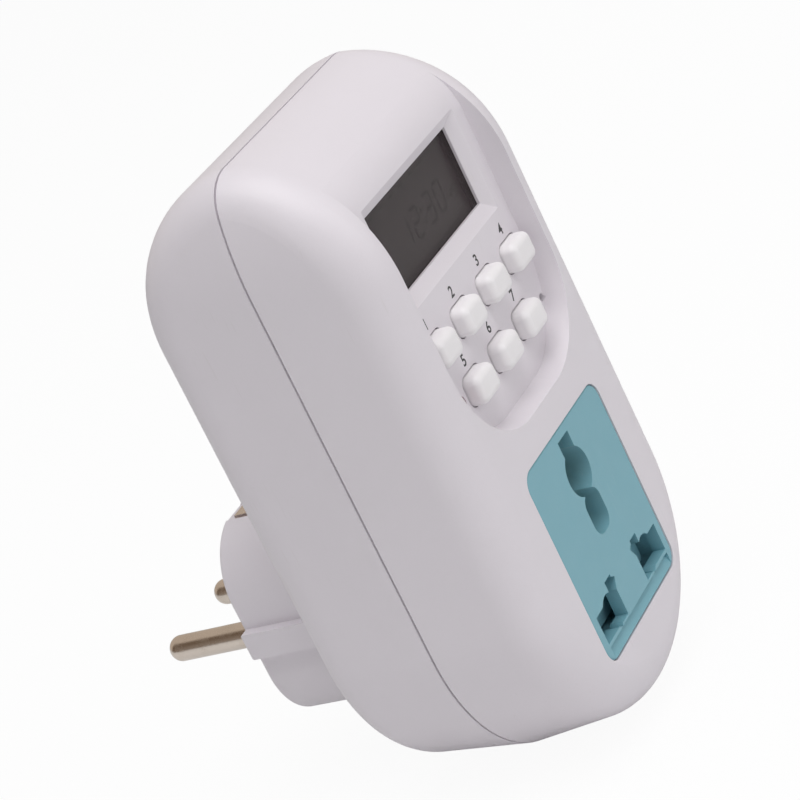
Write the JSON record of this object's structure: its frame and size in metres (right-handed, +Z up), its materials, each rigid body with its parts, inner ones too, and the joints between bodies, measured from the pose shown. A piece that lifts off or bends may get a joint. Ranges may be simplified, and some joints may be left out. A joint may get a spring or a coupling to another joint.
{
  "type": "plug-in timer switch",
  "caption": "Plug-in timer switch: a white case with a recessed display and key panel, a shuttered multi-standard outlet in front and a round-pin earthed plug behind.",
  "frame": {"origin": "middle of the plug face, between the two pins", "axes": "+Y out of the plug face along the pins, into the wall socket; +Z up along the case; -Y towards the user"},
  "size_m": [0.0636, 0.0876, 0.1198],
  "materials": {
    "case_plastic": "satin white with a faint lilac tint",
    "key_plastic": "matt warm white",
    "insert_plastic": "matt pale blue-green",
    "shutter_plastic": "matt pale blue-green",
    "carrier_plastic": "matt cream",
    "window_plastic": "glossy smoked clear plastic",
    "display_glass": "grey-green liquid crystal glass",
    "silicone": "matt grey silicone",
    "led_lens": "glossy red epoxy",
    "black_plastic": "matt black",
    "circuit_board": "glossy green laminate",
    "relay_plastic": "glossy blue",
    "copper_winding": "enamelled copper wire",
    "nickel_brass": "bright nickel plate",
    "bright_metal": "satin bright metal",
    "zinc_steel": "zinc plated",
    "spring_steel": "drawn wire",
    "brass_parts": "stamped brass",
    "capacitor_yellow": "matt yellow",
    "capacitor_sleeve": "glossy dark blue sleeve",
    "varistor_blue": "glossy blue epoxy",
    "resistor_grey": "matt grey-blue"
  },
  "bodies": {
    "housing": {"backup_cell": "bright_metal", "board_link_pins": "brass_parts", "board_link_spacers": "black_plastic", "carrier_screws": "zinc_steel", "case_screws": "zinc_steel", "cell_tabs": "bright_metal", "clock_crystal": "bright_metal", "connector_strip": "silicone", "contact_carrier": "carrier_plastic", "control_board": "circuit_board", "control_board_screws": "zinc_steel", "display_glass": "display_glass", "display_holder": "black_plastic", "display_window": "window_plastic", "dropper_capacitor": "capacitor_yellow", "earth_contact": "brass_parts", "earth_side_contacts": "nickel_brass", "earth_strap": "brass_parts", "filter_capacitor": "capacitor_sleeve", "front_cover": "case_plastic", "indicator_led": "led_lens", "keypad_mat": "silicone", "left_pin": "nickel_brass", "live_busbar": "brass_parts", "live_contact": "brass_parts", "neutral_busbar": "brass_parts", "neutral_contact": "brass_parts", "plug_base": "case_plastic", "power_board": "circuit_board", "power_board_screws": "zinc_steel", "power_resistors": "resistor_grey", "rear_cover": "case_plastic", "rectifier_diodes": "black_plastic", "relay_base": "relay_plastic", "relay_coil": "copper_winding", "relay_cover": "relay_plastic", "relay_fixed_contacts": "brass_parts", "relay_yoke": "zinc_steel", "reset_switch": "black_plastic", "right_pin": "nickel_brass", "shutter_springs": "spring_steel", "socket_insert": "insert_plastic", "surge_varistor": "varistor_blue", "switched_busbar": "brass_parts", "timer_chip": "black_plastic"},
    "program_button": {"program_button": "key_plastic"},
    "weekday_button": {"weekday_button": "key_plastic"},
    "hour_button": {"hour_button": "key_plastic"},
    "minute_button": {"minute_button": "key_plastic"},
    "mode_button": {"mode_button": "key_plastic"},
    "clock_button": {"clock_button": "key_plastic"},
    "recall_button": {"recall_button": "key_plastic"},
    "reset_plunger": {"reset_plunger": "black_plastic"},
    "socket_shutter": {"socket_shutter": "shutter_plastic"},
    "relay_armature": {"relay_armature": "zinc_steel", "relay_contact_blade": "brass_parts"}
  },
  "joints": [
    {"name": "program_press", "type": "slide", "parent": "housing", "child": "program_button", "axis": [0, 1, 0], "range_m": [0, 0.0012], "stiffness_N_per_m": 900, "springref_m": -0.0012, "deforming": ["keypad_mat"]},
    {"name": "weekday_press", "type": "slide", "parent": "housing", "child": "weekday_button", "axis": [0, 1, 0], "range_m": [0, 0.0012], "stiffness_N_per_m": 900, "springref_m": -0.0012, "deforming": ["keypad_mat"]},
    {"name": "hour_press", "type": "slide", "parent": "housing", "child": "hour_button", "axis": [0, 1, 0], "range_m": [0, 0.0012], "stiffness_N_per_m": 900, "springref_m": -0.0012, "deforming": ["keypad_mat"]},
    {"name": "minute_press", "type": "slide", "parent": "housing", "child": "minute_button", "axis": [0, 1, 0], "range_m": [0, 0.0012], "stiffness_N_per_m": 900, "springref_m": -0.0012, "deforming": ["keypad_mat"]},
    {"name": "mode_press", "type": "slide", "parent": "housing", "child": "mode_button", "axis": [0, 1, 0], "range_m": [0, 0.0012], "stiffness_N_per_m": 900, "springref_m": -0.0012, "deforming": ["keypad_mat"]},
    {"name": "clock_press", "type": "slide", "parent": "housing", "child": "clock_button", "axis": [0, 1, 0], "range_m": [0, 0.0012], "stiffness_N_per_m": 900, "springref_m": -0.0012, "deforming": ["keypad_mat"]},
    {"name": "recall_press", "type": "slide", "parent": "housing", "child": "recall_button", "axis": [0, 1, 0], "range_m": [0, 0.0012], "stiffness_N_per_m": 900, "springref_m": -0.0012, "deforming": ["keypad_mat"]},
    {"name": "reset_press", "type": "slide", "parent": "housing", "child": "reset_plunger", "axis": [0, 1, 0], "range_m": [0, 0.00025], "stiffness_N_per_m": 2000, "springref_m": -0.0006},
    {"name": "shutter_lift", "type": "slide", "parent": "housing", "child": "socket_shutter", "axis": [0, 0, 1], "range_m": [0, 0.0088], "stiffness_N_per_m": 60, "springref_m": -0.006, "deforming": ["shutter_springs"]},
    {"name": "relay_pull_in", "type": "hinge", "parent": "housing", "child": "relay_armature", "pos_m": [-0.0213, -0.046, 0.042], "axis": [0, 0, 1], "range_deg": [0, 4.8], "stiffness_Nm_per_rad": 0.02, "springref_deg": -4.58}
  ]
}
